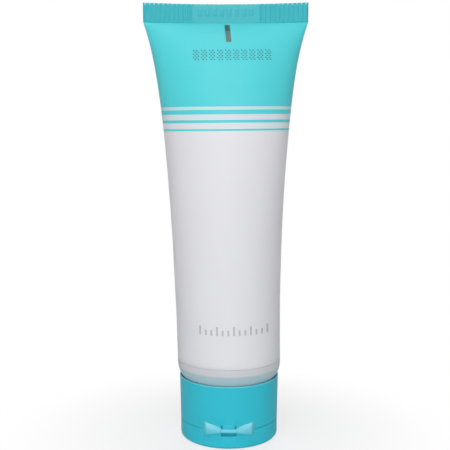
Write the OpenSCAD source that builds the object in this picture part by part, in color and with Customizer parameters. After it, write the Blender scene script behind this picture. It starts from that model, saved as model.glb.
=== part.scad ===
// A squeeze tube for body lotion, standing upside down on its flip-top cap with the crimped end at the top.
// The origin is the middle of the lid's flat outer face. The lid's hinge and the back of the tube face -Y.

/* [Sleeve] */
// Outside diameter of the sleeve at its round end
sleeve_d = 25; // [22:0.5:28]
// Thickness of the sleeve's film
film_t = 0.45; // [0.35:0.05:0.55]
// Height of the sleeve from its lower edge to the seal
sleeve_h = 80.1; // [70:0.1:90]
// Part of the widening that grows steadily from the round end, while the rest comes close to the seal
steady_flare = 0.72; // [0.5:0.02:0.9]

/* [Seal] */
// Height of the crimped seal
seal_h = 4.5; // [3:0.1:7]
// Width that the seal loses against half of the sleeve's girth
seal_loss = 0.67; // [0.3:0.01:1.5]
// Number of upright ribs across the seal
rib_count = 36; // [24:6:48]
// Depth of the ribs
rib_depth = 0.3; // [0.1:0.02:0.4]
// Width of the smooth panel in the middle of the seal
panel_w = 15.4; // [8:0.2:24]

/* [Head] */
// Radius of the rounded shoulder
shoulder_r = 7; // [5.5:0.1:8]
// Height of the shoulder's curve that shows above the cap
shoulder_show = 3.6; // [3:0.1:4.5]
// Height of the head's straight band under the sleeve
band_h = 0.5; // [0.3:0.1:1.5]
// Height of the spigot that is welded inside the sleeve
spigot_h = 3; // [2:0.1:5]
// Thickness of the spigot's wall
spigot_t = 1; // [0.7:0.05:1.5]
// Outside diameter of the neck
neck_d = 15; // [12:0.1:16.5]
// Thickness of the neck's wall
neck_t = 1.3; // [0.9:0.05:1.8]
// Thickness of the plate across the end of the neck
plate_t = 1; // [0.7:0.05:1.5]
// Diameter of the opening in that plate
orifice_d = 5; // [3.2:0.1:8]
// Height by which the snap bead stands out of the neck
bead_out = 0.35; // [0.2:0.05:0.6]
// Height of the snap bead along the neck
bead_h = 1; // [0.6:0.1:1.6]
// Distance from the end of the neck to the middle of the snap bead
bead_up = 2.2; // [1.5:0.1:3.5]

/* [Cap] */
// How far the cap lies inside the sleeve's outline at the seam with the lid
cap_step = 0.7; // [0.6:0.05:0.9]
// How much wider the cap is at its rim, on each side
cap_flare = 0.2; // [0.1:0.02:0.3]
// Height of the cap's fixed part, from the seam with the lid to the rim
skirt_h = 10.6; // [9.5:0.1:13]
// Thickness of the cap's outer walls
wall_t = 1.2; // [1.05:0.05:1.4]
// Thickness of the deck between the lid and the neck
deck_t = 1.2; // [0.9:0.05:1.6]
// Height of the collar that grips the neck
collar_h = 5.4; // [4.2:0.1:6]
// Thickness of the collar's wall
collar_t = 1; // [0.7:0.05:1.4]
// Diameter of the hole that the lotion leaves by
outlet_d = 3; // [2.4:0.1:4]
// Thickness of the spout's wall around that hole
spout_t = 1.2; // [0.8:0.05:1.6]
// Height of the spout below the deck, inside the lid
spout_h = 1.5; // [1:0.1:1.8]
// Height of the locating ring that enters the lid
ring_h = 0.9; // [0.5:0.05:1.4]
// Thickness of the locating ring
ring_t = 0.75; // [0.5:0.05:1.1]
// Depth of the thumb notch at the front
notch_depth = 0.7; // [0.4:0.05:0.8]
// Radius of the thumb notch, seen from the side
notch_r = 5; // [3:0.1:7]

/* [Lid] */
// Height of the closed lid, from its flat face to the seam
lid_h = 4.6; // [4:0.1:6]
// Thickness of the lid's floor
floor_t = 1.1; // [0.8:0.05:1.4]
// Radius of the rounded outer edge at the lid's flat face
edge_r = 1; // [0.6:0.05:1.6]
// Length of the plug pin that reaches past the seam into the outlet
plug_reach = 0.7; // [0.3:0.05:0.9]
// Height of the plug pin's tapered tip
plug_tip = 0.6; // [0.3:0.05:1]

/* [Hinge] */
// Overall width of the bow-tie hinge
hinge_w = 11.3; // [9:0.1:12]
// Height of the hinge at its two outer ends
hinge_h = 3.5; // [3.2:0.1:4.2]
// Width of the bar in the middle of the hinge
bar_w = 4.2; // [3:0.1:5]
// Radius of that bar
bar_r = 0.45; // [0.35:0.01:0.5]
// Angle at which the hinge snaps open
open_deg = 140; // [130:1:150]
// How far the hinge's axis lies outside the cap
axis_out = 0.08; // [0.05:0.01:0.2]
// Thickness of the hinge's two wings
wing_t = 0.4; // [0.3:0.05:0.45]
// How far the wings bulge out of the cap
wing_bulge = 0.75; // [0.4:0.05:0.8]
// Width of the relief cut above and below the bar
relief_w = 3.6; // [2:0.1:4]
// Height of that relief
relief_h = 2.6; // [1.8:0.1:3.4]
// Height by which the flats beside the bar run past the wings
flat_past = 0.6; // [0.4:0.1:1]

/* [Clearances] */
// Gap at the seam between the cap and the closed lid
seam_gap = 0.12; // [0.06:0.01:0.2]
// Gap between pieces that are pushed or welded together
seat_gap = 0.1; // [0.05:0.01:0.15]
// Gap between the shoulder and the cap's rim
shoulder_gap = 0.2; // [0.1:0.01:0.25]
// Gap between the plug pin and the outlet, and between the locating ring and the lid
plug_gap = 0.2; // [0.15:0.01:0.3]
// Gap around the hinge's wings and bar
hinge_gap = 0.14; // [0.1:0.01:0.2]
// Gap past the wings' outer ends, which swing sideways as they turn
swing_gap = 0.42; // [0.4:0.01:0.55]

/* [Hidden] */
$fn = 96;
past = 1;

white_film = [0.9, 0.9, 0.92];
pale_plastic = [0.82, 0.86, 0.88];
cream = [0.97, 0.95, 0.9];
teal = [0.26, 0.75, 0.82];

// Radii, from the sleeve inwards
sleeve_r = sleeve_d / 2;
cap_r = sleeve_r - cap_step;
rim_r = cap_r + cap_flare;
cap_in = cap_r - wall_t;
spigot_r = sleeve_r - film_t - seat_gap;
spigot_in = spigot_r - spigot_t;
neck_r = neck_d / 2;
neck_in = neck_r - neck_t;
outlet_r = outlet_d / 2;
plug_r = outlet_r - plug_gap;

// Heights, from the lid's flat face upwards
seam_z = lid_h;
lid_top = seam_z - seam_gap / 2;
base_bottom = seam_z + seam_gap / 2;
deck_top = base_bottom + deck_t;
neck_end = deck_top + 2 * seat_gap;
rim_z = seam_z + skirt_h;
dome_z = rim_z + shoulder_show;
sleeve_z = dome_z + band_h;
seal_z = sleeve_z + sleeve_h;
top_z = seal_z + seal_h;

// The rounded shoulder is a dome: an arc about a circle of radius dome_x at the height dome_z
dome_x = sleeve_r - shoulder_r;
dome_in = spigot_in - dome_x;

// The flattened tube keeps its girth, so its half width and half thickness follow one power law
girth_power = ln(2) / ln(PI / 2);
seal_half_w = PI * sleeve_r / 2 - seal_loss / 2;
slit = 0.04;
steady_power = 2;
late_power = 9.5;

// Steps along and around the sleeve: three points on the seal for each one on the body
body_steps = 18;
seal_side = 2 * rib_count;
body_side = seal_side / 3;
seal_corner = 8;
rib_fade = 0.5;
seal_top_fade = 0.35;
seal_top_thin = 0.12;
head_space_steps = 3;
fill_gap = 0.12;
neck_fill_steps = 6;

// Half width and half thickness of the sleeve's hollow at t, from 0 at its lower edge to 1 at the seal
function flare(t) = steady_flare * pow(t, steady_power) + (1 - steady_flare) * pow(t, late_power);
function outer_half_w(t) = sleeve_r + (seal_half_w - sleeve_r) * flare(t);
function girth_left(w) =
    max(0, pow(seal_half_w, girth_power) - pow(w, girth_power))
    / (pow(seal_half_w, girth_power) - pow(sleeve_r, girth_power));
function hollow_half_w(t) = outer_half_w(t) - film_t;
function hollow_half_t(t) = slit + (sleeve_r - film_t - slit) * pow(girth_left(outer_half_w(t)), 1 / girth_power);

// Heights of the rings crowd towards the seal, where the shape changes fastest
function step_t(i) = sin(90 * i / body_steps);
function step_z(i) = sleeve_z + sleeve_h * step_t(i);

// A ring of points: side steps lead from the +X edge to the -X edge, and as many lead back
function spread_x(j, side, even) = (1 - even) * cos(180 * j / side) + even * (1 - 2 * j / side);
function oval_y(x, corner) = pow(max(0, 1 - pow(abs(x), corner)), 1 / corner);
function rib_y(j, side, x, depth) =
    (j == 0 || j == side || abs(x) < panel_w / 2) ? 0 : (j % 2 == 0 ? 1 : -1) * depth / 2;
function ring(z, half_w, half_t, side, even, corner = 2, depth = 0) = [
    for (k = [0 : 2 * side - 1])
        let (near = k > side)
        let (j = near ? 2 * side - k : k)
        let (x = spread_x(j, side, even))
        [half_w * x, (near ? -1 : 1) * half_t * oval_y(x, corner) + rib_y(j, side, half_w * x, depth), z]
];

// Triangles, clockwise from outside: walls between rings, a cap across a ring, and a floor between two rings
function flipped(faces) = [for (f = faces) [f[2], f[1], f[0]]];
function wall_faces(first, levels, count) = [
    for (level = [0 : levels - 1], k = [0 : count - 1])
        let (a = first + level * count + k)
        let (b = first + level * count + (k + 1) % count)
        each [[a, a + count, b + count], [a, b + count, b]]
];
function cap_faces(first, side) = concat(
    [for (j = [1 : side - 1]) [first + j, first + 2 * side - j, first + 2 * side - j - 1]],
    [for (j = [0 : side - 2]) [first + j, first + 2 * side - j - 1, first + j + 1]]
);
function lower_edge_faces(outer, inner, count) = [
    for (k = [0 : count - 1])
        let (next = (k + 1) % count)
        each [[outer + k, outer + next, inner + next], [outer + k, inner + next, inner + k]]
];
function step_up_faces(low, high, count) = [
    for (k = [0 : count - 1])
        let (a = low + k)
        let (b = low + (k + 1) % count)
        let (c = high + 3 * k)
        let (d = high + (3 * k + 3) % (3 * count))
        each [[a, c, c + 1], [a, c + 1, c + 2], [a, c + 2, b], [b, c + 2, d]]
];

// Film sleeve: round at its lower edge, flattened and crimped at the top
module tube_sleeve() {
    count = 2 * body_side;
    seal_count = 2 * seal_side;
    outer = [
        for (i = [0 : body_steps])
            let (t = step_t(i))
            each ring(step_z(i), outer_half_w(t), hollow_half_t(t) + film_t, body_side, pow(t, late_power))
    ];
    seal = [
        for (level = [
            [seal_z + rib_fade, 0],
            [top_z - seal_top_fade, 0],
            [top_z, seal_top_thin]
        ])
            each ring(level[0], seal_half_w, film_t + slit - level[1], seal_side, 1, seal_corner, rib_depth)
    ];
    inner = [
        for (i = [0 : body_steps])
            let (t = step_t(i))
            each ring(step_z(i), hollow_half_w(t), hollow_half_t(t), body_side, pow(t, late_power))
    ];
    seal_first = len(outer);
    seal_last = seal_first + 2 * seal_count;
    inner_first = seal_first + len(seal);
    faces = concat(
        wall_faces(0, body_steps, count),
        step_up_faces(body_steps * count, seal_first, count),
        wall_faces(seal_first, 2, seal_count),
        cap_faces(seal_last, seal_side),
        flipped(wall_faces(inner_first, body_steps, count)),
        flipped(cap_faces(inner_first + body_steps * count, body_side)),
        lower_edge_faces(0, inner_first, count)
    );
    color(white_film) polyhedron(points = concat(outer, seal, inner), faces = faces);
}

// Half section of the domed shoulder, filled to the axis
module dome_section(radius) {
    intersection() {
        translate([dome_x, dome_z]) circle(radius);
        square([sleeve_r + past, dome_z]);
    }
    translate([0, dome_z - radius]) square([dome_x, radius]);
}

// Half section of a bar from the axis out to radius, between two heights
module disc_section(radius, low, high) {
    translate([0, low]) square([radius, high - low]);
}

// Half section of the snap bead, or of the groove around it
module bead_section(grow) {
    translate([neck_r + bead_out - bead_h / 2, neck_end + bead_up]) circle(bead_h / 2 + grow);
}

// Moulded head: the spigot in the sleeve, the domed shoulder and the neck with its snap bead
module tube_head() {
    color(pale_plastic) rotate_extrude() difference() {
        union() {
            dome_section(shoulder_r);
            disc_section(sleeve_r, dome_z, sleeve_z);
            disc_section(spigot_r, dome_z, sleeve_z + spigot_h);
            disc_section(neck_r, neck_end, dome_z);
            bead_section(0);
        }
        dome_section(dome_in);
        disc_section(spigot_in, dome_z - slit, sleeve_z + spigot_h + past);
        disc_section(neck_in, neck_end + plate_t, dome_z);
        disc_section(orifice_d / 2, neck_end - past, dome_z);
    }
}

// Radius of the lotion inside the head, at the height z
function dome_fill_r(z) = max(neck_in, dome_x + sqrt(max(0, pow(dome_in, 2) - pow(dome_z - z, 2)))) - fill_gap;

// Lotion: it fills the neck, the shoulder and the sleeve up to a small head space
module lotion() {
    count = 2 * body_side;
    neck_low = neck_end + plate_t + fill_gap;
    dome_low = dome_z - sqrt(pow(dome_in, 2) - pow(neck_in - dome_x, 2)) + fill_gap;
    spigot_top = sleeve_z + spigot_h + fill_gap;
    head_levels = [
        [neck_low, neck_in - fill_gap],
        [dome_low, neck_in - fill_gap],
        for (i = [1 : neck_fill_steps])
            let (z = dome_low + (dome_z - dome_low) * i / neck_fill_steps)
            [z, dome_fill_r(z)],
        [spigot_top, spigot_in - fill_gap]
    ];
    spigot_t_share = (spigot_top - sleeve_z) / sleeve_h;
    first_step = min([for (i = [0 : body_steps]) if (step_t(i) > spigot_t_share) i]);
    sleeve_levels = concat(
        [spigot_t_share],
        [for (i = [first_step : body_steps - head_space_steps]) step_t(i)]
    );
    points = concat(
        [for (level = head_levels) each ring(level[0], level[1], level[1], body_side, 0)],
        [
            for (t = sleeve_levels)
                each ring(
                    sleeve_z + sleeve_h * t,
                    hollow_half_w(t) - fill_gap,
                    hollow_half_t(t) - fill_gap,
                    body_side,
                    pow(t, late_power)
                )
        ]
    );
    levels = len(head_levels) + len(sleeve_levels) - 1;
    faces = concat(
        wall_faces(0, levels, count),
        cap_faces(levels * count, body_side),
        flipped(cap_faces(0, body_side))
    );
    color(cream) polyhedron(points = points, faces = faces);
}

// The hinge's fold lines start at the outer ends of the wings and meet on the hinge's axis, apex_x from its middle
half_hinge_w = hinge_w / 2;
half_hinge_h = hinge_h / 2;
fold_slope = (half_hinge_h - bar_r) / (half_hinge_w - bar_w / 2);
apex_x = bar_w / 2 - bar_r / fold_slope;
axis_y = -(cap_r + axis_out);
// A stiff wing fits between its fold lines both when closed and when open, if their ends lie this far behind the axis
fold_depth = half_hinge_h * tan(open_deg / 4);
barrel_r = (pow(half_hinge_h, 2) + pow(wing_bulge, 2)) / (2 * wing_bulge);
barrel_x = cap_r + wing_bulge - barrel_r;
pocket_r = barrel_x + sqrt(pow(barrel_r - wing_t, 2) - pow(half_hinge_h, 2)) - hinge_gap;
prism_y = -(cap_r - fold_depth - wing_t - past);

// Cuts an outline in X and Z out of the cap's back wall
module back_prism() {
    translate([0, prism_y, seam_z]) rotate([90, 0, 0]) linear_extrude(cap_r) children();
}

// Outline of one wing on the +X side
module wing_outline() {
    inner_x = bar_w / 2 + hinge_gap / 2;
    inner_h = fold_slope * (inner_x - apex_x) - hinge_gap / 2;
    outer_h = half_hinge_h - hinge_gap / 2;
    polygon([[inner_x, -inner_h], [half_hinge_w, -outer_h], [half_hinge_w, outer_h], [inner_x, inner_h]]);
}

// Bow-tie recess in the cap's back wall, with the relief above and below the bar
module hinge_pocket() {
    end_x = half_hinge_w + swing_gap;
    end_h = fold_slope * (end_x - apex_x) + hinge_gap / 2;
    mid_x = bar_w / 2;
    mid_h = bar_r + hinge_gap;
    intersection() {
        back_prism() union() {
            polygon([
                [-end_x, -end_h], [-end_x, end_h], [-mid_x, mid_h], [mid_x, mid_h],
                [end_x, end_h], [end_x, -end_h], [mid_x, -mid_h], [-mid_x, -mid_h]
            ]);
            square([relief_w, relief_h], center = true);
        }
        difference() {
            cylinder(r = sleeve_r + past, h = rim_z);
            translate([0, 0, -past]) cylinder(r = pocket_r, h = rim_z + 2 * past);
        }
    }
}

// Flats on the cap's round wall, level with the fold lines, so that the wings can turn out over them
module hinge_flats() {
    run_x = half_hinge_w - apex_x;
    length = norm([run_x, fold_depth]) + past;
    height = hinge_h + 2 * flat_past;
    for (side = [0, 1])
        mirror([side, 0, 0])
            translate([apex_x, axis_y, seam_z - height / 2])
                rotate([0, 0, atan2(fold_depth, run_x)])
                    translate([0, -past, 0]) cube([length, past, height]);
}

// Barrel-shaped wing of the hinge on the +X side
module wing() {
    color(teal) intersection() {
        translate([0, 0, seam_z]) rotate_extrude() translate([barrel_x, 0]) difference() {
            circle(barrel_r);
            circle(barrel_r - wing_t);
        }
        back_prism() wing_outline();
    }
}

module hinge_wing_right() {
    wing();
}

module hinge_wing_left() {
    mirror([1, 0, 0]) wing();
}

// Bar along the hinge's axis, on a web that joins it to the cap just above the seam
module hinge_bar() {
    length = bar_w - hinge_gap;
    web_y = -(pocket_r - wing_t);
    translate([-length / 2, axis_y, seam_z]) rotate([0, 90, 0]) cylinder(r = bar_r, h = length);
    translate([-length / 2, axis_y, base_bottom]) cube([length, web_y - axis_y, bar_r - hinge_gap]);
}

// Fixed part of the cap: skirt, deck, collar on the neck, spout and locating ring
module cap_base() {
    ring_out = cap_in - plug_gap;
    collar_in = neck_r + seat_gap;
    rim_round = 0.1;
    color(teal) {
        difference() {
            rotate_extrude() {
                difference() {
                    union() {
                        polygon([
                            [0, base_bottom], [cap_r, base_bottom], [rim_r, rim_z - rim_round],
                            [rim_r - rim_round, rim_z], [0, rim_z]
                        ]);
                        translate([rim_r - rim_round, rim_z - rim_round]) circle(rim_round);
                    }
                    disc_section(cap_in, deck_top, rim_z + past);
                    dome_section(shoulder_r + shoulder_gap);
                    disc_section(outlet_r, base_bottom - past, deck_top + past);
                }
                difference() {
                    disc_section(collar_in + collar_t, deck_top - slit, deck_top + collar_h);
                    disc_section(collar_in, deck_top - past, deck_top + collar_h + past);
                    bead_section(seat_gap);
                }
                difference() {
                    disc_section(outlet_r + spout_t, base_bottom - spout_h, base_bottom + slit);
                    disc_section(outlet_r, base_bottom - spout_h - past, base_bottom + past);
                }
                difference() {
                    disc_section(ring_out, base_bottom - ring_h, base_bottom + slit);
                    disc_section(ring_out - ring_t, base_bottom - ring_h - past, base_bottom + past);
                }
            }
            hinge_pocket();
            hinge_flats();
            thumb_notch();
        }
        hinge_bar();
    }
}

// Scoop above the seam at the front, which bares the lid's edge to the thumb
module thumb_notch() {
    translate([-cap_r, cap_r + notch_r - notch_depth, seam_z]) rotate([0, 90, 0]) cylinder(r = notch_r, h = 2 * cap_r);
}

// Flip lid: a shallow cup with a rounded edge and a plug pin for the outlet
module flip_lid() {
    plug_top = seam_z + plug_reach;
    color(teal) {
        difference() {
            rotate_extrude() difference() {
                union() {
                    disc_section(cap_r - edge_r, 0, lid_top);
                    disc_section(cap_r, edge_r, lid_top);
                    translate([cap_r - edge_r, edge_r]) circle(edge_r);
                }
                disc_section(cap_in, floor_t, lid_top + past);
            }
            hinge_pocket();
            hinge_flats();
        }
        translate([0, 0, floor_t - slit]) cylinder(r = plug_r, h = plug_top - plug_tip - floor_t + slit);
        translate([0, 0, plug_top - plug_tip]) cylinder(r1 = plug_r, r2 = plug_r - plug_gap, h = plug_tip);
    }
}

tube_sleeve();
tube_head();
lotion();
cap_base();
flip_lid();
hinge_wing_left();
hinge_wing_right();
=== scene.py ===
# Looks of the body lotion tube: printed film sleeve, satin plastics of the head and cap, light and camera.
# The camera looks along +Y at the side with the cap's hinge, where the printed marks lie too.
import math

import bpy
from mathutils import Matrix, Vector, noise


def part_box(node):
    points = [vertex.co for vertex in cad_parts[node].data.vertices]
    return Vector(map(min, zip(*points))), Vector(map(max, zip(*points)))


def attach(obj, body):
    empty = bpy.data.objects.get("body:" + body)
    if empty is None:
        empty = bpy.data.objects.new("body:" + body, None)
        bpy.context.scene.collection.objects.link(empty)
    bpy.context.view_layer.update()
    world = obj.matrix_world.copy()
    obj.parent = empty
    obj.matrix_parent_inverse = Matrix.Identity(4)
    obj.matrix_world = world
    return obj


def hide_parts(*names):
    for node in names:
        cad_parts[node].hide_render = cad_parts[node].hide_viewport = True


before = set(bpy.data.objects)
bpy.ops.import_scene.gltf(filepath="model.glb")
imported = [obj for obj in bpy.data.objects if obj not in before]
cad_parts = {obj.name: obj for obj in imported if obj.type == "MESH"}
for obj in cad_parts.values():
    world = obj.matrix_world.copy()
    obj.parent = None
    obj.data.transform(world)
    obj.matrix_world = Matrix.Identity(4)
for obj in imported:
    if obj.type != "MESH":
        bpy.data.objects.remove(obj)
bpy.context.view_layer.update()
mm = 0.001

# Sizes that the frame gives
SLEEVE_LOW, SLEEVE_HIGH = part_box("tube_sleeve")
LOTION_LOW, LOTION_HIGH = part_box("lotion")
HEAD_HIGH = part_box("tube_head")[1]
LID_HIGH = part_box("flip_lid")[1]
CAP_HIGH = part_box("cap_base")[1]
SLEEVE_Z = SLEEVE_LOW.z
TOP_Z = SLEEVE_HIGH.z
SLEEVE_R = HEAD_HIGH.x
SEAL_HALF_W = SLEEVE_HIGH.x
CAP_R = LID_HIGH.x

# The sleeve, by the same laws as the CAD source
FILM_T = 0.45 * mm
SLIT = 0.04 * mm
SEAL_H = 4.5 * mm
SEAL_Z = TOP_Z - SEAL_H
SLEEVE_H = SEAL_Z - SLEEVE_Z
STEADY_FLARE = 0.72
STEADY_POWER = 2
LATE_POWER = 9.5
GIRTH_POWER = math.log(2) / math.log(math.pi / 2)
RIB_COUNT = 36
RIB_DEPTH = 0.3 * mm
RIB_FADE = 0.5 * mm
RIB_INNER_FADE = 0.4 * mm
RIB_OUTER_FADE = 0.5 * mm
PANEL_W = 15.4 * mm
SEAL_CORNER = 8
SEAL_TOP_FADE = 0.35 * mm
SEAL_TOP_THIN = 0.12 * mm

# How the real film differs from the laws: it leans, sags at the seal, dents softly and is creased under it
LEAN = 1.0 * mm
LEAN_HEIGHT = 45 * mm
SEAL_SAG = 0.45 * mm
SAG_POWER = 6
DENT = 0.07 * mm
DENT_SIZE = 16 * mm
DENT_START = 4 * mm
DENT_GROW = 8 * mm
DENT_FADE = 10 * mm
CREASE_DROP = 1.1 * mm
CREASE_BOW = 0.6
CREASE_H = 0.45 * mm
CREASE_DEPTH = 0.1 * mm
EDGE_ROUND = 0.12 * mm

# Mesh of the sleeve and the lotion: steps along one side, and rings up the body and the seal
SIDE_STEPS = 6 * RIB_COUNT
BODY_RINGS = 110
SEAL_RINGS = 26
INNER_RINGS = 30
LOTION_RINGS = 60
LOTION_STEPS = 48
FILM_SHARP = math.radians(50)

# The lotion: its gap to the film, how far up the sleeve the head's spigot reaches, the straight part in the
# neck, and the dome over it as heights from the sleeve's lower edge with the radius there
FILL_GAP = 0.12 * mm
SPIGOT_UP = 3.2 * mm
LOTION_NECK_R = 6.1 * mm
LOTION_NECK_H = 3 * mm
LOTION_DOME = [(-4 * mm, 7.2 * mm), (-1 * mm, 10.8 * mm)]

# Raised bars on the smooth panel of the seal
PANEL_BAR_COUNT = 8
PANEL_BAR_PITCH = 1.7 * mm
PANEL_BAR_W = 1.0 * mm
PANEL_BAR_H = 1.9 * mm
PANEL_BAR_UP = 2.6 * mm
PANEL_BAR_RAISE = 0.12 * mm
PANEL_BAR_EDGE = 0.25 * mm

# Painted highlights: the crimp's ribs are pale where they end at the top, where light from above catches them
RIB_SHINE_LOW = 0.75 * mm
RIB_SHINE_HIGH = 0.2 * mm
RIB_SHINE_MOST = 0.75
RIB_SHINE_STARTS = 0.2
RIB_SHINE_IS_FULL = -0.9

# The print on the film: how far the stripes' edges lie below the seal, from the bottom up, the share of teal
# in the gaps between them, the stretch that the colour ramp covers, and the tilt
STRIPE_DROPS = [25.18 * mm, 24.73 * mm, 23.34 * mm, 22.70 * mm, 21.43 * mm, 20.37 * mm, 19.68 * mm]
GAP_TINTS = [0.07, 0.16, 0.3]
RAMP_LOW = SEAL_Z - 26.4 * mm
RAMP_HIGH = SEAL_Z - 18.4 * mm
PRINT_TILT = math.radians(0.5)

# Marks printed on the film: middle and size of each, across from the film's middle
MARK_LIFT = 0.02 * mm
PATCH_STEPS = 6
DOT_CORNERS = 8
HALVINGS = 30
EYE_MARK_X = 0.54 * mm
EYE_MARK_Z = SEAL_Z - 2.65 * mm
EYE_MARK_W = 1.2 * mm
EYE_MARK_H = 4.2 * mm
EYE_MARK_SLANT = math.radians(5.5)
EYE_MARK_DARK_SHARE = 0.36
CODE_CELLS = 10
CODE_X = 1.5 * mm
CODE_Z = SEAL_Z - 7.8 * mm
CODE_PITCH = 1.83 * mm
CODE_COLUMNS = 4
CODE_ROWS = 6
DOT_STEP_X = 0.36 * mm
DOT_STEP_Z = 0.42 * mm
DOT_R = 0.16 * mm
TICK_COUNT = 13
TALL_EVERY = 3
TICK_X = 1.35 * mm
TICK_Z = SLEEVE_Z + 9.2 * mm
TICK_PITCH = 1.3 * mm
TICK_W = 0.42 * mm
TICK_TALL = 2.1 * mm
TICK_SHORT = 1.3 * mm

# The hinge's wings as the CAD source has them: half sizes of the whole hinge and of its bar, and their
# thickness. Heights on the hinge are measured from the seam between cap and lid
SEAM_Z = SLEEVE_Z - 14.7 * mm
HINGE_HALF_W = 5.65 * mm
HINGE_HALF_H = 1.75 * mm
BAR_HALF_W = 2.1 * mm
BAR_HALF_H = 0.45 * mm
WING_T = 0.4 * mm
WING_SLOPE = (HINGE_HALF_H - BAR_HALF_H) / (HINGE_HALF_W - BAR_HALF_W)
WING_APEX = BAR_HALF_W - BAR_HALF_H / WING_SLOPE

# The wings as moulded: soft lobes that run out over the gaps around them
LOBE_START = 1.7 * mm
LOBE_END = 6.28 * mm
LOBE_END_FALL = 1.0 * mm
LOBE_SPILL = 0.28 * mm
LOBE_RISE = 0.78 * mm
LOBE_LOW_RISE = 0.66 * mm
LOBE_GROW = 1.6 * mm
LOBE_SIDE_FALL = 0.6
LOBE_SINK = 0.03 * mm
LOBE_FULL_RISE = 0.3 * mm
LOBE_COLUMNS = 56
LOBE_ROWS = 36
# Painted highlight on the hinge: heights from the seam over which it grows paler, and distances along X over
# which it fades towards the ends
HINGE_SHINE_LOW = -1.6 * mm
HINGE_SHINE_HIGH = 1.5 * mm
HINGE_SHINE_IN = 5.0 * mm
HINGE_SHINE_OUT = 6.0 * mm
CAP_SHARP = math.radians(60)

# The bar between the lobes, with its rounded ends
ROUND_BAR_R = 0.49 * mm
ROUND_BAR_HALF_W = 2.6 * mm
ROUND_BAR_TAPER = 0.28
ROUND_BAR_END_R = 0.02 * mm
ROUND_BAR_OUT = 0.08 * mm
ROUND_BAR_STEPS = 24
ROUND_BAR_CORNERS = 24

# The small tab of the cap above the bar
TAB_HALF_W = 1.5 * mm
TAB_LOW = 0.2 * mm
TAB_HIGH = 1.45 * mm
TAB_FALL = 0.4 * mm
TAB_DEEP = 0.6 * mm
TAB_OUT = 0.22 * mm
TAB_COLUMNS = 40
TAB_ROWS = 20

# The cap's rim is a rounded bead, which stands out of the rim's corner by a small share of its radius
RIM_BEAD_R = 0.16 * mm
RIM_BEAD_SINK = 0.9
RIM_STEPS = 192
RIM_CORNERS = 12

# Painted shade and painted teal reflection of the cap on the shoulder's lower band, below its pale upper part
SHOULDER_SHADE_TOP = SLEEVE_Z - 1.4 * mm
SHOULDER_SHADE_SOFT = 0.6 * mm

# Surface of every plastic: detail and depth of its grain, how fine its uneven patches are, by the grain, and
# how far light reaches under it
GRAIN_DETAIL = 3
GRAIN_DEPTH = 0.1
PATCHES_PER_GRAIN = 0.1
GLOW_REACH = 1.2 * mm

# Floor, in metres: it keeps the shadow near the object and fades to the backdrop's white away from it
FLOOR_HALF_W = 3.0
FLOOR_ROUGHNESS = 0.8
FADE_NEAR = 0.014
FADE_FAR = 0.06
FADE_LEAST = 0.7
MIRROR_FAR = 0.3

# World: its strength by the direction's Y, and where the white behind the object begins for reflections
DIM_Y = 0.2
DIM = 0.04
BRIGHT_Y = -0.8
BRIGHT = 0.45
BACKDROP_STARTS_Y = 0.9
BACKDROP_IS_FULL_Y = 0.97

# Lamps, in metres and watts: place, size and power of each
LAMP_AIM = (0, 0, 0.05)
LAMPS = {
    "front_light": ((-0.05, -0.9, 0.5), 0.7, 4.4),
    "top_light": ((-0.1, -0.25, 0.8), 0.5, 1.6),
    "back_light": ((0.1, 0.7, 0.65), 0.5, 2.2),
}

# The photo's camera, worked out from the tube's outline and the curves of the sleeve's and the cap's edges
CAMERA_PLACE = (0.47 * mm, -202.5 * mm, 76.3 * mm)
CAMERA_PITCH_DOWN = math.radians(6.94)
CAMERA_TURN_LEFT = math.atan(0.00716)
CAMERA_SENSOR = 36
CAMERA_LENS = 67.84
CAMERA_CLIP_START = 0.01

# Places of the colours among the sockets of a mix node
MIX_FIRST = 6
MIX_SECOND = 7
MIX_RESULT = 2


def linear(red, green, blue):
    """A colour as the render takes it, from screen values of 0 to 255."""
    shares = [level / 255 for level in (red, green, blue)]
    return [((share + 0.055) / 1.055) ** 2.4 if share > 0.04045 else share / 12.92 for share in shares] + [1]


# Colours
FILM_WHITE = linear(238, 238, 243)
FILM_TEAL = linear(90, 221, 229)
# Darker copy of the print's teal for the crimp: painted shade of its ribs
CRIMP_SHADED_TEAL = linear(62, 190, 200)
# Painted highlight on the ribs' upper ends
RIB_HIGHLIGHT_TEAL = linear(190, 236, 240)
CAP_TEAL = linear(58, 198, 218)
# Painted highlight on the hinge's upper side
HINGE_HIGHLIGHT_TEAL = linear(140, 222, 238)
# Painted highlight along the rim bead
RIM_HIGHLIGHT_TEAL = linear(120, 214, 230)
HEAD_PALE = linear(214, 216, 221)
# Painted shade and painted teal reflection of the cap on the shoulder's lower part
SHOULDER_SHADE_TINT = linear(176, 205, 213)
LOTION_CREAM = linear(244, 240, 230)
MARK_DARK = linear(48, 96, 94)
MARK_PALE = linear(88, 126, 118)
CODE_INK = linear(44, 104, 112)
FINE_INK = linear(196, 198, 202)
FLOOR_WHITE = linear(240, 240, 240)


def smooth(value):
    """A soft step from 0 to 1 as the value goes from 0 to 1."""
    value = min(1, max(0, value))
    return value * value * (3 - 2 * value)


def flare(t):
    """How far the sleeve has spread towards the seal's width, at the share t of its height."""
    return STEADY_FLARE * t**STEADY_POWER + (1 - STEADY_FLARE) * t**LATE_POWER


def half_width(t):
    """Half the sleeve's width at the share t of its height."""
    return SLEEVE_R + (SEAL_HALF_W - SLEEVE_R) * flare(t)


def hollow_half_thickness(t):
    """Half the depth of the hollow, which shrinks as the sleeve widens, so that the girth stays the same."""
    most = SEAL_HALF_W**GIRTH_POWER
    left = max(0, most - half_width(t) ** GIRTH_POWER) / (most - SLEEVE_R**GIRTH_POWER)
    return SLIT + (SLEEVE_R - FILM_T - SLIT) * left ** (1 / GIRTH_POWER)


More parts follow.
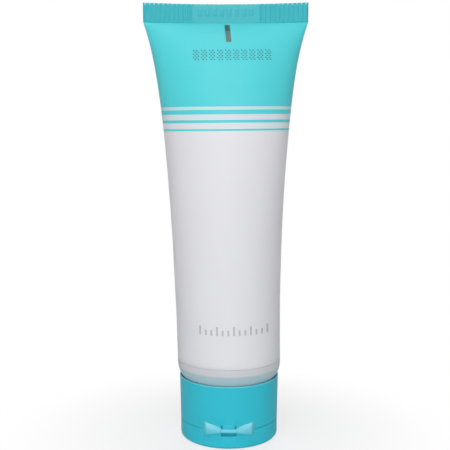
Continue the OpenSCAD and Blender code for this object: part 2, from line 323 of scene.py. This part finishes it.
def section(z):
    """The sleeve at a height: half width, half thickness, evenness of spacing, corner power and rib depth."""
    if z <= SEAL_Z:
        t = max(0, (z - SLEEVE_Z) / SLEEVE_H)
        return half_width(t), hollow_half_thickness(t) + FILM_T, t**LATE_POWER, 2, 0
    rise = min(1, (z - SEAL_Z) / RIB_FADE)
    thin = max(0, (z - TOP_Z + SEAL_TOP_FADE) / SEAL_TOP_FADE)
    half_t = FILM_T + SLIT - SEAL_TOP_THIN * thin**2
    return SEAL_HALF_W, half_t, 1, 2 + (SEAL_CORNER - 2) * rise, RIB_DEPTH * rise


def spread_at(share, even):
    """Place across the sleeve, from 1 at the +X edge to -1 at the -X edge, by the share of the way along."""
    return (1 - even) * math.cos(math.pi * share) + even * (1 - 2 * share)


def rib_y(share, x, half_w, depth):
    """How far the crimp's ribs push both faces towards +Y."""
    inner = smooth((abs(x) - PANEL_W / 2) / RIB_INNER_FADE)
    outer = smooth((half_w - abs(x)) / RIB_OUTER_FADE)
    return depth / 2 * inner * outer * math.cos(2 * math.pi * RIB_COUNT * share)


def panel_bar_rise(x, z):
    """Height of the raised bars on the seal's smooth panel."""
    place = x / PANEL_BAR_PITCH + PANEL_BAR_COUNT / 2
    if not 0 <= place < PANEL_BAR_COUNT:
        return 0
    across = abs(place % 1 - 0.5) * PANEL_BAR_PITCH
    up = abs(z - SEAL_Z - PANEL_BAR_UP)
    side_edge = smooth((PANEL_BAR_W / 2 - across) / PANEL_BAR_EDGE)
    end_edge = smooth((PANEL_BAR_H / 2 - up) / PANEL_BAR_EDGE)
    return PANEL_BAR_RAISE * side_edge * end_edge


def sag(spread, z):
    """How far the seal's middle hangs below its ends."""
    return SEAL_SAG * (1 - spread**2) * ((z - SLEEVE_Z) / (TOP_Z - SLEEVE_Z)) ** SAG_POWER


def lean(z):
    """The film's shift along X at a height, because it leans towards -X."""
    return -LEAN * (1 - math.exp(-max(0, z - SLEEVE_Z) / LEAN_HEIGHT))


def dent_at(x, y, z):
    """How far soft dents move the film out or in, which fade towards both ends of the body."""
    body = smooth((z - SLEEVE_Z - DENT_START) / DENT_GROW) * smooth((SEAL_Z - z) / DENT_FADE)
    return DENT * body * noise.noise(Vector((x, y, z)) / DENT_SIZE)


def crease_at(spread, z):
    """Depth of the crease under the seal, which bows down in the middle."""
    middle_z = SEAL_Z - CREASE_DROP * (1 + CREASE_BOW * (1 - spread**2))
    return CREASE_DEPTH * math.exp(-(((z - middle_z) / CREASE_H) ** 2))


def film_point(z, share, side, inset=0):
    """A point on the sleeve at a height, or inset from it.

    The share goes from 0 at the +X edge to 1 at the -X edge. Side is 1 for the +Y side, -1 for the -Y side.
    """
    half_w, half_t, even, corner, depth = section(z)
    spread = spread_at(share, even)
    oval = max(0, 1 - abs(spread) ** corner) ** (1 / corner)
    x = (half_w - inset) * spread
    dent = dent_at(x, side * oval * half_t, z)
    crease = crease_at(spread, z) * oval
    raised = panel_bar_rise(x, z) if z > SEAL_Z else 0
    y = side * ((half_t - inset + dent - crease) * oval + raised) + rib_y(share, x, half_w, depth)
    return Vector((x * (1 + dent / half_w) + lean(z), y, z - sag(spread, z)))


def print_point(x, z):
    """A point just off the film's -Y side, at the distance x from its middle and the height z."""
    half_w, half_t, even = section(z)[:3]
    low = 0
    high = 1
    for _ in range(HALVINGS):
        share = (low + high) / 2
        if half_w * spread_at(share, even) > x:
            low = share
        else:
            high = share
    slope = x / half_w**2
    rise = -math.sqrt(max(0, 1 - (x / half_w) ** 2)) / half_t
    normal = Vector((slope, rise, 0)).normalized()
    return film_point(z, share, -1) + MARK_LIFT * normal


def ring(z, steps, inset=0):
    """A closed ring of points around the sleeve, along its +Y side first."""
    far_side = [film_point(z, j / steps, 1, inset) for j in range(steps + 1)]
    near_side = [film_point(z, j / steps, -1, inset) for j in range(steps - 1, 0, -1)]
    return far_side + near_side


def walls(first, rings, count, outward):
    """Quads between rings of count points that follow each other from the point first."""
    quads = []
    for level in range(rings - 1):
        for k in range(count):
            a = first + level * count + k
            b = first + level * count + (k + 1) % count
            quad = (a, b, b + count, a + count)
            quads.append(quad if outward else quad[::-1])
    return quads


def end_faces(first, steps, upward):
    """Quads across a ring, from one of its halves to the other, with a triangle at each end."""
    count = 2 * steps
    faces = [(first, first + 1, first + count - 1), (first + steps - 1, first + steps, first + steps + 1)]
    for j in range(1, steps - 1):
        faces.append((first + j, first + j + 1, first + count - j - 1, first + count - j))
    return faces if upward else [face[::-1] for face in faces]


def new_piece(name, points, faces, material, body="tube"):
    """A smooth-shaded mesh that rides on a body and takes the given material."""
    mesh = bpy.data.meshes.new(name)
    mesh.from_pydata([tuple(p) for p in points], [], faces)
    mesh.update()
    mesh.shade_smooth()
    mesh.materials.append(material)
    piece = bpy.data.objects.new(name, mesh)
    bpy.context.scene.collection.objects.link(piece)
    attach(piece, body)
    return piece


def body_heights(low, high, rings):
    """Heights that crowd towards the upper end, where the sleeve's shape changes fastest."""
    return [low + (high - low) * math.sin(math.pi / 2 * i / (rings - 1)) for i in range(rings)]


def outer_rings():
    """The sleeve's outer skin from its rounded lower edge up, and then the crimped seal."""
    rings = [ring(SLEEVE_Z, SIDE_STEPS, EDGE_ROUND)]
    rings.append(ring(SLEEVE_Z + EDGE_ROUND / 3, SIDE_STEPS, EDGE_ROUND / 3))
    heights = body_heights(SLEEVE_Z + EDGE_ROUND, SEAL_Z, BODY_RINGS)
    heights += [SEAL_Z + (TOP_Z - SEAL_Z) * (i + 1) / SEAL_RINGS for i in range(SEAL_RINGS)]
    return rings + [ring(z, SIDE_STEPS) for z in heights]


def make_sleeve(film, crimp_film):
    """The film sleeve as a closed shell: outer skin, crimped seal, and the hollow inside."""
    outer = outer_rings()
    inner = [ring(z, SIDE_STEPS, FILM_T) for z in body_heights(SLEEVE_Z, SEAL_Z, INNER_RINGS)]
    count = 2 * SIDE_STEPS
    inner_first = len(outer) * count
    faces = walls(0, len(outer), count, True)
    faces += end_faces(inner_first - count, SIDE_STEPS, True)
    seal_start = (len(outer) - SEAL_RINGS - 1) * count
    seal_end = len(faces)
    faces += walls(inner_first, len(inner), count, False)
    faces += end_faces(inner_first + (len(inner) - 1) * count, SIDE_STEPS, False)
    for k in range(count):
        after = (k + 1) % count
        faces.append((k, inner_first + k, inner_first + after, after))
    points = [p for level in outer + inner for p in level]
    sleeve = new_piece("film_sleeve", points, faces, film)
    sleeve.data.materials.append(crimp_film)
    for face in sleeve.data.polygons[seal_start:seal_end]:
        face.material_index = 1
    sleeve.data.set_sharp_from_angle(angle=FILM_SHARP)
    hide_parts("tube_sleeve")


def round_ring(radius, z, count):
    """A ring of count points around the tube's axis."""
    turns = [2 * math.pi * j / count for j in range(count)]
    return [Vector((radius * math.cos(a), radius * math.sin(a), z)) for a in turns]


def make_lotion(material):
    """The lotion inside the sleeve, which leans with it, down to the neck of the head."""
    count = 2 * LOTION_STEPS
    neck_z = LOTION_LOW.z
    levels = [round_ring(LOTION_NECK_R, z, count) for z in (neck_z, neck_z + LOTION_NECK_H)]
    levels += [round_ring(radius, SLEEVE_Z + up, count) for up, radius in LOTION_DOME]
    heights = body_heights(SLEEVE_Z + SPIGOT_UP, LOTION_HIGH.z, LOTION_RINGS)
    levels += [ring(z, LOTION_STEPS, FILM_T + FILL_GAP) for z in heights]
    faces = walls(0, len(levels), count, True)
    faces += end_faces((len(levels) - 1) * count, LOTION_STEPS, True)
    faces += end_faces(0, LOTION_STEPS, False)
    points = [p for level in levels for p in level]
    fill = new_piece("lotion_fill", points, faces, material)
    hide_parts("lotion")


def patch(points, faces, middle_x, middle_z, width, height, slant=0):
    """Adds a rectangle that lies on the printed side of the film."""
    first = len(points)
    for row in range(PATCH_STEPS + 1):
        up = height * (row / PATCH_STEPS - 0.5)
        for column in range(PATCH_STEPS + 1):
            across = width * (column / PATCH_STEPS - 0.5)
            points.append(print_point(middle_x + across - up * math.tan(slant), middle_z + up))
    for row in range(PATCH_STEPS):
        for column in range(PATCH_STEPS):
            a = first + row * (PATCH_STEPS + 1) + column
            faces.append((a, a + 1, a + PATCH_STEPS + 2, a + PATCH_STEPS + 1))


def dot(points, faces, middle_x, middle_z):
    """Adds a small round dot that lies on the printed side of the film."""
    first = len(points)
    for i in range(DOT_CORNERS):
        turn = 2 * math.pi * i / DOT_CORNERS
        points.append(print_point(middle_x + DOT_R * math.cos(turn), middle_z + DOT_R * math.sin(turn)))
    faces.append(tuple(range(first, first + DOT_CORNERS)))


def make_eye_mark(dark, pale):
    """The slanted register mark under the seal, darker at its upper end."""
    dark_h = EYE_MARK_DARK_SHARE * EYE_MARK_H
    pale_h = EYE_MARK_H - dark_h
    parts = [("eye_mark_dark", pale_h, dark_h, dark), ("eye_mark_pale", 0, pale_h, pale)]
    for name, low, height, material in parts:
        points = []
        faces = []
        up = low + height / 2 - EYE_MARK_H / 2
        middle_x = EYE_MARK_X - up * math.tan(EYE_MARK_SLANT)
        patch(points, faces, middle_x, EYE_MARK_Z + up, EYE_MARK_W, height, EYE_MARK_SLANT)
        new_piece(name, points, faces, material)


def make_code(material):
    """A row of cells, each a plain hatch of dots and no sign."""
    points = []
    faces = []
    for cell in range(CODE_CELLS):
        cell_x = CODE_X + (cell - (CODE_CELLS - 1) / 2) * CODE_PITCH
        for column in range(CODE_COLUMNS):
            for row in range(CODE_ROWS):
                if (column + row) % 2:
                    x = cell_x + (column - (CODE_COLUMNS - 1) / 2) * DOT_STEP_X
                    z = CODE_Z + (row - (CODE_ROWS - 1) / 2) * DOT_STEP_Z + x * math.tan(PRINT_TILT)
                    dot(points, faces, x, z)
    new_piece("dotted_code", points, faces, material)


def make_ticks(material):
    """A row of plain grey ticks that stand on one line, every third one taller."""
    points = []
    faces = []
    for i in range(TICK_COUNT):
        x = TICK_X + (i - (TICK_COUNT - 1) / 2) * TICK_PITCH
        height = TICK_SHORT if i % TALL_EVERY else TICK_TALL
        patch(points, faces, x, TICK_Z + (height - TICK_TALL) / 2, TICK_W, height)
    new_piece("grey_ticks", points, faces, material)


def lobe_half_height(x):
    """Half height of a hinge lobe, which covers the gap around its wing."""
    return WING_SLOPE * (x - WING_APEX) + LOBE_SPILL


def lobe_rise(x, up):
    """How far a lobe stands out of the cap's round wall."""
    level = LOBE_LOW_RISE + (LOBE_RISE - LOBE_LOW_RISE) * smooth((x - LOBE_START) / LOBE_GROW)
    end = smooth((LOBE_END - x) / LOBE_END_FALL)
    side = min(1, abs(up) / lobe_half_height(x))
    return level * end * smooth((1 - side) / LOBE_SIDE_FALL)


def on_cap(x, z, out):
    """A point over the cap's -Y wall, out from its round surface."""
    return Vector((x, -math.sqrt((CAP_R + out) ** 2 - x * x), z))


def shell_faces(rows, columns, outward):
    """Faces of a closed shell of two grids of points, the outer one first."""
    width = columns + 1
    count = width * (rows + 1)
    faces = []
    for row in range(rows):
        for column in range(columns):
            a = row * width + column
            faces.append((a, a + 1, a + width + 1, a + width))
            faces.append((count + a, count + a + width, count + a + width + 1, count + a + 1))
    border = list(range(columns))
    border += [row * width + columns for row in range(rows)]
    border += [rows * width + column for column in range(columns, 0, -1)]
    border += [row * width for row in range(rows, 0, -1)]
    for i, a in enumerate(border):
        b = border[(i + 1) % len(border)]
        faces.append((a, count + a, count + b, b))
    return faces if outward else [face[::-1] for face in faces]


def make_lobe(name, material, mirror):
    """One wing of the hinge as a soft lobe that runs out into the cap around it, mirror is 1 or -1."""
    outer = []
    inner = []
    for row in range(LOBE_ROWS + 1):
        for column in range(LOBE_COLUMNS + 1):
            x = LOBE_START + (LOBE_END - LOBE_START) * column / LOBE_COLUMNS
            up = lobe_half_height(x) * (2 * row / LOBE_ROWS - 1)
            rise = lobe_rise(x, up)
            thick = LOBE_SINK + (WING_T - LOBE_SINK) * smooth(rise / LOBE_FULL_RISE)
            outer.append(on_cap(x, SEAM_Z + up, rise - LOBE_SINK / 2))
            inner.append(on_cap(x, SEAM_Z + up, rise - LOBE_SINK / 2 - thick))
    points = [Vector((mirror * p.x, p.y, p.z)) for p in outer + inner]
    faces = shell_faces(LOBE_ROWS, LOBE_COLUMNS, mirror > 0)
    side = "right" if mirror > 0 else "left"
    lobe = new_piece(name, points, faces, material, "wing_" + side)
    lobe.data.set_sharp_from_angle(angle=CAP_SHARP)
    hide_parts("hinge_wing_" + side)


def make_tab(material):
    """The small raised tab of the cap above the hinge's bar, which fades out into the wall around it."""
    outer = []
    inner = []
    for row in range(TAB_ROWS + 1):
        for column in range(TAB_COLUMNS + 1):
            x = TAB_HALF_W * (2 * column / TAB_COLUMNS - 1)
            up = TAB_LOW + (TAB_HIGH - TAB_LOW) * row / TAB_ROWS
            side = smooth((TAB_HALF_W - abs(x)) / TAB_FALL)
            out = TAB_OUT * side * smooth((TAB_HIGH - up) / TAB_FALL) + LOBE_SINK / 2
            outer.append(on_cap(x, SEAM_Z + up, out))
            inner.append(on_cap(x, SEAM_Z + up, -TAB_DEEP))
    faces = shell_faces(TAB_ROWS, TAB_COLUMNS, True)
    tab = new_piece("hinge_tab", outer + inner, faces, material)
    tab.data.set_sharp_from_angle(angle=CAP_SHARP)


def make_rim(material):
    """The rounded bead along the cap's rim."""
    bead_z = CAP_HIGH.z - RIM_BEAD_R * RIM_BEAD_SINK
    points = []
    for i in range(RIM_STEPS):
        turn = 2 * math.pi * i / RIM_STEPS
        for k in range(RIM_CORNERS):
            angle = 2 * math.pi * k / RIM_CORNERS
            radius = CAP_HIGH.x - RIM_BEAD_R * (RIM_BEAD_SINK - math.cos(angle))
            z = bead_z + RIM_BEAD_R * math.sin(angle)
            points.append(Vector((radius * math.cos(turn), radius * math.sin(turn), z)))
    faces = []
    for i in range(RIM_STEPS):
        for k in range(RIM_CORNERS):
            a = i * RIM_CORNERS + k
            b = i * RIM_CORNERS + (k + 1) % RIM_CORNERS
            after_a = (a + RIM_CORNERS) % len(points)
            after_b = (b + RIM_CORNERS) % len(points)
            faces.append((a, after_a, after_b, b))
    new_piece("rim_bead", points, faces, material)


def make_bar(material):
    """The hinge's bar with rounded ends, which the two lobes run into."""
    axis_y = -(CAP_R + ROUND_BAR_OUT)
    last = ROUND_BAR_STEPS
    points = []
    for i in range(last + 1):
        turn = math.pi * (i / last - 0.5)
        x = ROUND_BAR_HALF_W * math.sin(turn)
        radius = ROUND_BAR_R * math.cos(turn) ** ROUND_BAR_TAPER if 0 < i < last else ROUND_BAR_END_R
        for k in range(ROUND_BAR_CORNERS):
            angle = 2 * math.pi * k / ROUND_BAR_CORNERS
            points.append(Vector((x, axis_y + radius * math.cos(angle), SEAM_Z + radius * math.sin(angle))))
    faces = walls(0, last + 1, ROUND_BAR_CORNERS, True)
    faces.append(tuple(range(ROUND_BAR_CORNERS - 1, -1, -1)))
    faces.append(tuple(range(last * ROUND_BAR_CORNERS, (last + 1) * ROUND_BAR_CORNERS)))
    new_piece("hinge_bar", points, faces, material)


def add_node(tree, kind, **settings):
    """A shader node with its settings; inputs holds a value or a socket for each input's name or number."""
    node = tree.nodes.new(kind)
    inputs = settings.pop("inputs", {})
    for name, value in settings.items():
        setattr(node, name, value)
    for name, value in inputs.items():
        if isinstance(value, bpy.types.NodeSocket):
            tree.links.new(value, node.inputs[name])
        else:
            node.inputs[name].default_value = value
    return node


def maths(tree, operation, *values):
    """The result of a maths node on numbers or sockets."""
    return add_node(tree, "ShaderNodeMath", operation=operation, inputs=dict(enumerate(values))).outputs[0]


def blend(tree, value, start, end, least=0, most=1, form="SMOOTHSTEP"):
    """A result that goes from least to most as the value goes from start to end."""
    inputs = {"Value": value, "From Min": start, "From Max": end, "To Min": least, "To Max": most}
    return add_node(tree, "ShaderNodeMapRange", interpolation_type=form, inputs=inputs).outputs["Result"]


def place_parts(tree, kind="Object"):
    """The X, Y and Z of the shaded place."""
    coords = add_node(tree, "ShaderNodeTexCoord")
    return add_node(tree, "ShaderNodeSeparateXYZ", inputs={"Vector": coords.outputs[kind]}).outputs


def mix_base_colour(material, share, first, second):
    """Gives a material a base colour that goes from the first to the second with the share."""
    tree = material.node_tree
    inputs = {"Factor": share, MIX_FIRST: first, MIX_SECOND: second}
    mix = add_node(tree, "ShaderNodeMix", data_type="RGBA", inputs=inputs)
    tree.links.new(mix.outputs[MIX_RESULT], tree.nodes["Principled BSDF"].inputs["Base Color"])


def surface_detail(tree, shader, grain, bump, roughness, spread):
    """Fine grain as a bump and an uneven roughness around a mean."""
    place = add_node(tree, "ShaderNodeTexCoord").outputs["Object"]
    fine_inputs = {"Vector": place, "Scale": 1 / grain, "Detail": GRAIN_DETAIL}
    fine = add_node(tree, "ShaderNodeTexNoise", inputs=fine_inputs)
    broad = add_node(tree, "ShaderNodeTexNoise", inputs={"Vector": place, "Scale": PATCHES_PER_GRAIN / grain})
    uneven = blend(tree, broad.outputs["Fac"], 0, 1, roughness - spread, roughness + spread, "LINEAR")
    relief_inputs = {"Strength": bump, "Distance": grain * GRAIN_DEPTH, "Height": fine.outputs["Fac"]}
    relief = add_node(tree, "ShaderNodeBump", inputs=relief_inputs)
    tree.links.new(uneven, shader.inputs["Roughness"])
    tree.links.new(relief.outputs["Normal"], shader.inputs["Normal"])


def plastic(name, colour, grain, bump, roughness, spread, glow=0.0, shine=0.5):
    """A satin plastic with fine grain, where glow is the share of light that passes under its surface."""
    material = bpy.data.materials.new(name)
    material.use_nodes = True
    shader = material.node_tree.nodes["Principled BSDF"]
    shader.inputs["Base Color"].default_value = colour
    shader.inputs["Specular IOR Level"].default_value = shine
    shader.inputs["Subsurface Weight"].default_value = glow
    shader.inputs["Subsurface Radius"].default_value = (1, 1, 1)
    shader.inputs["Subsurface Scale"].default_value = GLOW_REACH
    surface_detail(material.node_tree, shader, grain, bump, roughness, spread)
    return material


def between(first, second, share):
    """A colour that lies between two others."""
    return [a + (b - a) * share for a, b in zip(first, second)]


def print_on(material):
    """The teal print at the top of the film, with its stripes, over the bare white."""
    tree = material.node_tree
    parts = place_parts(tree)
    height = maths(tree, "MULTIPLY_ADD", parts["X"], -math.tan(PRINT_TILT), parts["Z"])
    place = blend(tree, height, RAMP_LOW, RAMP_HIGH, form="LINEAR")
    ramp = add_node(tree, "ShaderNodeValToRGB", inputs={"Fac": place})
    ramp.color_ramp.interpolation = "CONSTANT"
    stops = ramp.color_ramp.elements
    stops[0].position = 0
    stops[0].color = FILM_WHITE
    stops.remove(stops[1])
    for i, drop in enumerate(STRIPE_DROPS):
        stop = stops.new((SEAL_Z - drop - RAMP_LOW) / (RAMP_HIGH - RAMP_LOW))
        stop.color = between(FILM_WHITE, FILM_TEAL, GAP_TINTS[i // 2] if i % 2 else 1)
    tree.links.new(ramp.outputs["Color"], tree.nodes["Principled BSDF"].inputs["Base Color"])


def paint_rib_end_highlights(material):
    """Painted highlights: the ribs' upper ends are pale where they stand out towards -Y, as light dots along
    the top where light from above catches them.
    """
    tree = material.node_tree
    parts = place_parts(tree)
    turns = math.pi * RIB_COUNT / SEAL_HALF_W
    wave = maths(tree, "COSINE", maths(tree, "MULTIPLY_ADD", parts["X"], turns, -lean(TOP_Z) * turns))
    crest = blend(tree, wave, RIB_SHINE_STARTS, RIB_SHINE_IS_FULL, 0, RIB_SHINE_MOST)
    high = blend(tree, parts["Z"], TOP_Z - RIB_SHINE_LOW, TOP_Z - RIB_SHINE_HIGH)
    mix_base_colour(material, maths(tree, "MULTIPLY", crest, high), CRIMP_SHADED_TEAL, RIB_HIGHLIGHT_TEAL)


def paint_hinge_highlight(material):
    """Painted highlight: the hinge is palest at its upper side, which faces the light, and keeps the cap's
    colour at its lower side and ends.
    """
    tree = material.node_tree
    parts = place_parts(tree)
    up = blend(tree, parts["Z"], SEAM_Z + HINGE_SHINE_LOW, SEAM_Z + HINGE_SHINE_HIGH)
    along = blend(tree, maths(tree, "ABSOLUTE", parts["X"]), HINGE_SHINE_OUT, HINGE_SHINE_IN)
    mix_base_colour(material, maths(tree, "MULTIPLY", up, along), CAP_TEAL, HINGE_HIGHLIGHT_TEAL)


def paint_shoulder_shade(material):
    """Painted shade and painted reflection: the lower part of the shoulder is darker and tinted teal by the
    cap around it.
    """
    tree = material.node_tree
    share = blend(tree, place_parts(tree)["Z"], SHOULDER_SHADE_TOP - SHOULDER_SHADE_SOFT, SHOULDER_SHADE_TOP)
    mix_base_colour(material, share, SHOULDER_SHADE_TINT, HEAD_PALE)


def dress_cad_node(node, material):
    """Gives a CAD node that stays in the scene its material."""
    mesh = node.data
    mesh.materials.clear()
    mesh.materials.append(material)


def seen_share(tree, mirrored_share):
    """1 for the camera, and the mirrored share for reflections and light that passed through something."""
    paths = add_node(tree, "ShaderNodeLightPath").outputs
    mirrored = maths(tree, "MAXIMUM", paths["Is Glossy Ray"], paths["Is Transmission Ray"])
    return maths(tree, "MAXIMUM", paths["Is Camera Ray"], maths(tree, "MULTIPLY", mirrored, mirrored_share))


def mix_surface(tree, share, first, second, output):
    """Sends a mix of two shaders to an output node."""
    mix = add_node(tree, "ShaderNodeMixShader", inputs={0: share, 1: first.outputs[0], 2: second.outputs[0]})
    tree.links.new(mix.outputs[0], tree.nodes[output].inputs["Surface"])


def floor_material():
    """White that takes the object's shadow near it and reads as the backdrop's white away from it."""
    material = bpy.data.materials.new("floor_white")
    material.use_nodes = True
    tree = material.node_tree
    diffuse = tree.nodes["Principled BSDF"]
    diffuse.inputs["Base Color"].default_value = FLOOR_WHITE
    diffuse.inputs["Roughness"].default_value = FLOOR_ROUGHNESS
    white = add_node(tree, "ShaderNodeEmission")
    place = add_node(tree, "ShaderNodeTexCoord").outputs["Object"]
    far = add_node(tree, "ShaderNodeVectorMath", operation="LENGTH", inputs={0: place}).outputs["Value"]
    fade = blend(tree, far, FADE_NEAR, FADE_FAR, FADE_LEAST, 1)
    distant = blend(tree, far, FADE_FAR, MIRROR_FAR, form="LINEAR")
    share = maths(tree, "MULTIPLY", seen_share(tree, distant), fade)
    mix_surface(tree, share, diffuse, white, "Material Output")
    return material


def make_floor():
    """A plain white floor under the object."""
    half = FLOOR_HALF_W
    corners = [(-half, -half, 0), (half, -half, 0), (half, half, 0), (-half, half, 0)]
    mesh = bpy.data.meshes.new("floor")
    mesh.from_pydata(corners, [], [(0, 1, 2, 3)])
    mesh.materials.append(floor_material())
    floor = bpy.data.objects.new("floor", mesh)
    bpy.context.scene.collection.objects.link(floor)


def make_world():
    """White to the camera; to the object, soft light, stronger from the camera's side than from behind."""
    world = bpy.data.worlds.new("studio")
    bpy.context.scene.world = world
    world.use_nodes = True
    tree = world.node_tree
    direction_y = place_parts(tree, "Generated")["Y"]
    soft = tree.nodes["Background"]
    soft.inputs["Color"].default_value = (1, 1, 1, 1)
    tree.links.new(blend(tree, direction_y, DIM_Y, BRIGHT_Y, DIM, BRIGHT), soft.inputs["Strength"])
    white = add_node(tree, "ShaderNodeBackground", inputs={"Color": (1, 1, 1, 1)})
    behind = blend(tree, direction_y, BACKDROP_STARTS_Y, BACKDROP_IS_FULL_Y)
    mix_surface(tree, seen_share(tree, behind), soft, white, "World Output")


def make_lamp(name, place, size, power):
    """A soft square lamp that looks at the tube's middle."""
    lamp = bpy.data.lights.new(name, "AREA")
    lamp.shape = "SQUARE"
    lamp.size = size
    lamp.energy = power
    holder = bpy.data.objects.new(name, lamp)
    holder.location = place
    holder.rotation_euler = (Vector(LAMP_AIM) - Vector(place)).to_track_quat("-Z", "Y").to_euler()
    bpy.context.scene.collection.objects.link(holder)


def make_camera():
    """The photo's camera."""
    camera = bpy.data.cameras.new("camera")
    camera.sensor_width = CAMERA_SENSOR
    camera.lens = CAMERA_LENS
    camera.clip_start = CAMERA_CLIP_START
    holder = bpy.data.objects.new("camera", camera)
    holder.location = CAMERA_PLACE
    holder.rotation_euler = (math.pi / 2 - CAMERA_PITCH_DOWN, 0, CAMERA_TURN_LEFT)
    bpy.context.scene.collection.objects.link(holder)
    bpy.context.scene.camera = holder


# Materials
film = plastic(
    "printed_film", FILM_WHITE, grain=0.5 * mm, bump=0.12, roughness=0.42, spread=0.03, glow=0.25, shine=0.25
)
print_on(film)
# The crimp's darker teal is painted shade of its ribs
crimp_film = plastic(
    "crimped_film", CRIMP_SHADED_TEAL, grain=0.3 * mm, bump=0.2, roughness=0.4, spread=0.05, glow=0.1, shine=0.4
)
# Painted highlights on the ribs' upper ends
paint_rib_end_highlights(crimp_film)
cap_plastic = plastic(
    "teal_plastic", CAP_TEAL, grain=0.25 * mm, bump=0.12, roughness=0.34, spread=0.04, shine=0.08
)
# Painted highlight: the hinge's teal turns paler towards its upper side
hinge_plastic = plastic(
    "highlit_hinge_plastic", HINGE_HIGHLIGHT_TEAL, grain=0.3 * mm, bump=0.12, roughness=0.3, spread=0.04, shine=0.4
)
paint_hinge_highlight(hinge_plastic)
# The rim bead's paler teal is a painted highlight
rim_highlight_plastic = plastic(
    "rim_highlight_plastic", RIM_HIGHLIGHT_TEAL, grain=0.25 * mm, bump=0.12, roughness=0.28, spread=0.04, shine=0.4
)
# The shoulder's lower part gets painted shade and a painted teal reflection of the cap
head_plastic = plastic(
    "pale_plastic", HEAD_PALE, grain=0.4 * mm, bump=0.1, roughness=0.4, spread=0.04, glow=0.2, shine=0.4
)
paint_shoulder_shade(head_plastic)
cream = plastic("cream", LOTION_CREAM, grain=1.5 * mm, bump=0.1, roughness=0.25, spread=0.05, glow=0.3)
dark_ink = plastic("dark_ink", MARK_DARK, grain=0.3 * mm, bump=0.1, roughness=0.5, spread=0.05)
green_ink = plastic("green_ink", MARK_PALE, grain=0.3 * mm, bump=0.1, roughness=0.5, spread=0.05)
code_ink = plastic("code_ink", CODE_INK, grain=0.2 * mm, bump=0.1, roughness=0.5, spread=0.05)
grey_ink = plastic("grey_ink", FINE_INK, grain=0.3 * mm, bump=0.1, roughness=0.45, spread=0.05)

# Pieces
make_sleeve(film, crimp_film)
make_lotion(cream)
make_eye_mark(dark_ink, green_ink)
make_code(code_ink)
make_ticks(grey_ink)
dress_cad_node(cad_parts["tube_head"], head_plastic)
make_lobe("hinge_lobe_left", hinge_plastic, -1)
make_lobe("hinge_lobe_right", hinge_plastic, 1)
make_bar(hinge_plastic)
make_tab(cap_plastic)
make_rim(rim_highlight_plastic)
for cap_node in ("cap_base", "flip_lid"):
    dress_cad_node(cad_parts[cap_node], cap_plastic)

# Floor, light and camera
make_floor()
make_world()
for lamp_name, (lamp_place, lamp_size, lamp_power) in LAMPS.items():
    make_lamp(lamp_name, lamp_place, lamp_size, lamp_power)
make_camera()
bpy.context.scene.view_settings.view_transform = "Standard"
